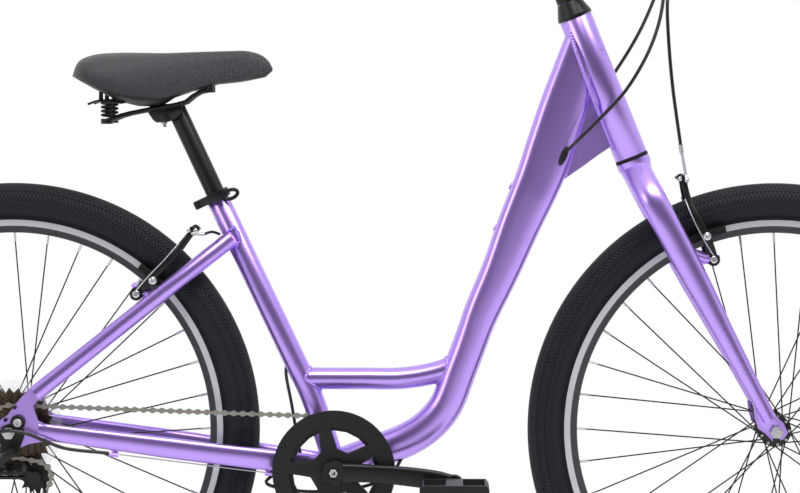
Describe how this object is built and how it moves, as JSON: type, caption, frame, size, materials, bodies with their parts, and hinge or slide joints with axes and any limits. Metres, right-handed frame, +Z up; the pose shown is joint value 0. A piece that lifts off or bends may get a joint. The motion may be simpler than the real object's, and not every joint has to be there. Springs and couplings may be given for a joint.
{
  "type": "step through bike",
  "caption": "City bike with a low step-through frame, straight-bladed rigid fork, sprung saddle, rim brakes and a derailleur drivetrain.",
  "frame": {"origin": "on the ground, midway between the two axles, in the wheels' plane", "axes": "+X forwards, +Y to the rider's left, +Z up"},
  "size_m": [1.772, 0.6734, 1.113],
  "materials": {
    "frame_paint": "metallic lilac paint under clear lacquer",
    "black_metal": "satin black",
    "black_plastic": "moulded black plastic",
    "grip_rubber": "matt",
    "tyre": "matt, with a moulded tread",
    "saddle_cover": "black grained vinyl",
    "rim_alloy": "black, with bare brake tracks",
    "steel": "zinc plated",
    "freewheel_steel": "brown oxide",
    "chain_steel": "oiled",
    "clear_plastic": "clear",
    "cable_sheath": "black sheath"
  },
  "bodies": {
    "frame": {"head_and_down_tube": "frame_paint", "seat_tube": "frame_paint", "chainstay_right": "frame_paint", "chainstay_left": "frame_paint", "seatstay_right": "frame_paint", "seatstay_left": "frame_paint", "seat_clamp": "black_metal", "rear_axle": "steel", "derailleur_body": "black_metal", "chain": "chain_steel", "shift_cable": "cable_sheath", "rear_brake_cable": "cable_sheath", "shift_cable_rear": "cable_sheath", "rear_brake_cable_rear": "cable_sheath"},
    "seat": {"seatpost": "black_metal", "saddle_clamp": "black_metal", "saddle_rails": "black_metal", "saddle_base": "black_plastic", "saddle_pad": "saddle_cover", "saddle_spring_right": "steel", "saddle_spring_left": "steel"},
    "clamp_lever": {"seat_clamp_lever": "black_metal"},
    "steering": {"fork": "frame_paint", "headset_top_cover": "black_metal", "stem": "black_metal", "handlebar": "black_metal", "grip_left": "grip_rubber", "grip_right": "grip_rubber", "brake_body_left": "black_metal", "brake_body_right": "black_metal", "front_axle": "steel", "front_brake_cable": "cable_sheath"},
    "front_wheel": {"front_tyre": "tyre", "front_rim": "rim_alloy", "front_hub": "black_metal"},
    "rear_wheel": {"rear_tyre": "tyre", "rear_rim": "rim_alloy", "rear_hub": "black_metal", "spoke_protector": "clear_plastic"},
    "freewheel": {"freewheel": "freewheel_steel"},
    "crank": {"crank_spindle": "steel", "crank_right": "black_metal", "crank_left": "black_metal", "chainring": "black_metal", "chain_guard": "black_plastic"},
    "pedal_right": {"pedal_right": "black_plastic"},
    "pedal_left": {"pedal_left": "black_plastic"},
    "brake_lever_left": {"brake_lever_left": "black_metal"},
    "brake_lever_right": {"brake_lever_right": "black_metal"},
    "shift_lever": {"shift_lever": "black_plastic"},
    "front_arm_left": {"brake_arm_front_left": "black_metal"},
    "front_arm_right": {"brake_arm_front_right": "black_metal"},
    "rear_arm_left": {"brake_arm_rear_left": "black_metal"},
    "rear_arm_right": {"brake_arm_rear_right": "black_metal"},
    "link_outer": {"derailleur_link_outer": "black_metal"},
    "link_inner": {"derailleur_link_inner": "black_metal"},
    "knuckle": {"derailleur_knuckle": "black_plastic"},
    "cage": {"derailleur_cage": "black_metal"},
    "guide_pulley": {"guide_pulley": "black_plastic"},
    "tension_pulley": {"tension_pulley": "black_plastic"}
  },
  "joints": [
    {"name": "seat_height", "type": "slide", "parent": "frame", "child": "seat", "axis": [-0.4289, 0, 0.9033], "range_m": [-0.085, 0.085]},
    {"name": "clamp_lever_hinge", "type": "hinge", "parent": "frame", "child": "clamp_lever", "pos_m": [-0.27638, -0.0132, 0.6653], "axis": [-0.4289, 0, 0.9033], "range_deg": [-110, 0]},
    {"name": "steering_hinge", "type": "hinge", "parent": "frame", "child": "steering", "pos_m": [0.33578, 0, 0.73373], "axis": [-0.3746, 0, 0.9272], "range_deg": [-60, 60], "deforming": ["rear_brake_cable", "shift_cable"]},
    {"name": "front_wheel_spin", "type": "hinge", "parent": "steering", "child": "front_wheel", "pos_m": [0.538, 0, 0.348], "axis": [0, 1, 0], "continuous": true},
    {"name": "rear_wheel_spin", "type": "hinge", "parent": "frame", "child": "rear_wheel", "pos_m": [-0.538, 0, 0.348], "axis": [0, 1, 0], "continuous": true},
    {"name": "crank_spin", "type": "hinge", "parent": "frame", "child": "crank", "pos_m": [-0.0835, 0, 0.2915], "axis": [0, 1, 0], "continuous": true, "deforming": ["chain"]},
    {"name": "freewheel_spin", "type": "hinge", "parent": "frame", "child": "freewheel", "pos_m": [-0.538, 0, 0.348], "axis": [0, 1, 0], "continuous": true},
    {"name": "pedal_right_spin", "type": "hinge", "parent": "crank", "child": "pedal_right", "pos_m": [0.08572, -0.086, 0.27521], "axis": [0, 1, 0], "continuous": true},
    {"name": "pedal_left_spin", "type": "hinge", "parent": "crank", "child": "pedal_left", "pos_m": [-0.25272, 0.08, 0.30779], "axis": [0, 1, 0], "continuous": true},
    {"name": "front_brake_lever_hinge", "type": "hinge", "parent": "steering", "child": "brake_lever_left", "pos_m": [0.3028, 0.18331, 1.07526], "axis": [0.6302, 0.1968, 0.7511], "range_deg": [0, 18], "stiffness_Nm_per_rad": 0.6, "springref_deg": -28.65, "deforming": ["front_brake_cable"]},
    {"name": "rear_brake_lever_hinge", "type": "hinge", "parent": "steering", "child": "brake_lever_right", "pos_m": [0.3028, -0.18331, 1.07526], "axis": [-0.6302, 0.1968, -0.7511], "range_deg": [0, 18], "stiffness_Nm_per_rad": 0.6, "springref_deg": -28.65, "deforming": ["rear_brake_cable_rear"]},
    {"name": "shift_lever_hinge", "type": "hinge", "parent": "steering", "child": "shift_lever", "pos_m": [0.29224, -0.15143, 1.07361], "axis": [-0.1799, 0, 0.9837], "range_deg": [-10, 22], "deforming": ["shift_cable_rear"]},
    {"name": "front_arm_left_hinge", "type": "hinge", "parent": "steering", "child": "front_arm_left", "pos_m": [0.42384, 0.04, 0.58405], "axis": [0.9364, 0, 0.3509], "range_deg": [0, 4]},
    {"name": "front_arm_right_hinge", "type": "hinge", "parent": "steering", "child": "front_arm_right", "pos_m": [0.42384, -0.04, 0.58405], "axis": [-0.9364, 0, -0.3509], "range_deg": [0, 4]},
    {"name": "rear_arm_left_hinge", "type": "hinge", "parent": "frame", "child": "rear_arm_left", "pos_m": [-0.33855, 0.04, 0.52748], "axis": [0.7326, 0, -0.6806], "range_deg": [0, 4]},
    {"name": "rear_arm_right_hinge", "type": "hinge", "parent": "frame", "child": "rear_arm_right", "pos_m": [-0.33855, -0.04, 0.52748], "axis": [-0.7326, 0, 0.6806], "range_deg": [0, 4]},
    {"name": "link_outer_hinge", "type": "hinge", "parent": "frame", "child": "link_outer", "pos_m": [-0.556, -0.06942, 0.2963], "axis": [0, 0.6947, 0.7193], "range_deg": [-23, 51]},
    {"name": "link_inner_hinge", "type": "hinge", "parent": "frame", "child": "link_inner", "pos_m": [-0.556, -0.06258, 0.2897], "axis": [0, 0.6947, 0.7193], "range_deg": [-23, 51]},
    {"name": "knuckle_hinge", "type": "hinge", "parent": "link_outer", "child": "knuckle", "pos_m": [-0.52, -0.06942, 0.2963], "axis": [0, 0.6947, 0.7193], "range_deg": [-51, 23]},
    {"name": "cage_hinge", "type": "hinge", "parent": "knuckle", "child": "cage", "pos_m": [-0.504, -0.05, 0.283], "axis": [0, 1, 0], "range_deg": [-35, 30], "stiffness_Nm_per_rad": 0.15, "deforming": ["chain"]},
    {"name": "guide_pulley_spin", "type": "hinge", "parent": "cage", "child": "guide_pulley", "pos_m": [-0.504, -0.05, 0.283], "axis": [0, 1, 0], "continuous": true},
    {"name": "tension_pulley_spin", "type": "hinge", "parent": "cage", "child": "tension_pulley", "pos_m": [-0.48275, -0.05, 0.23119], "axis": [0, 1, 0], "continuous": true}
  ],
  "couplings": [
    {"joint": "freewheel_spin", "follows": "crank_spin", "ratio": 2.1111},
    {"joint": "guide_pulley_spin", "follows": "crank_spin", "ratio": -3.4545},
    {"joint": "tension_pulley_spin", "follows": "crank_spin", "ratio": 3.4545},
    {"joint": "front_arm_left_hinge", "follows": "front_brake_lever_hinge", "ratio": 0.22},
    {"joint": "front_arm_right_hinge", "follows": "front_brake_lever_hinge", "ratio": 0.22},
    {"joint": "rear_arm_left_hinge", "follows": "rear_brake_lever_hinge", "ratio": 0.22},
    {"joint": "rear_arm_right_hinge", "follows": "rear_brake_lever_hinge", "ratio": 0.22},
    {"joint": "link_outer_hinge", "follows": "shift_lever_hinge", "ratio": 2.3},
    {"joint": "link_inner_hinge", "follows": "shift_lever_hinge", "ratio": 2.3},
    {"joint": "knuckle_hinge", "follows": "shift_lever_hinge", "ratio": -2.3}
  ]
}
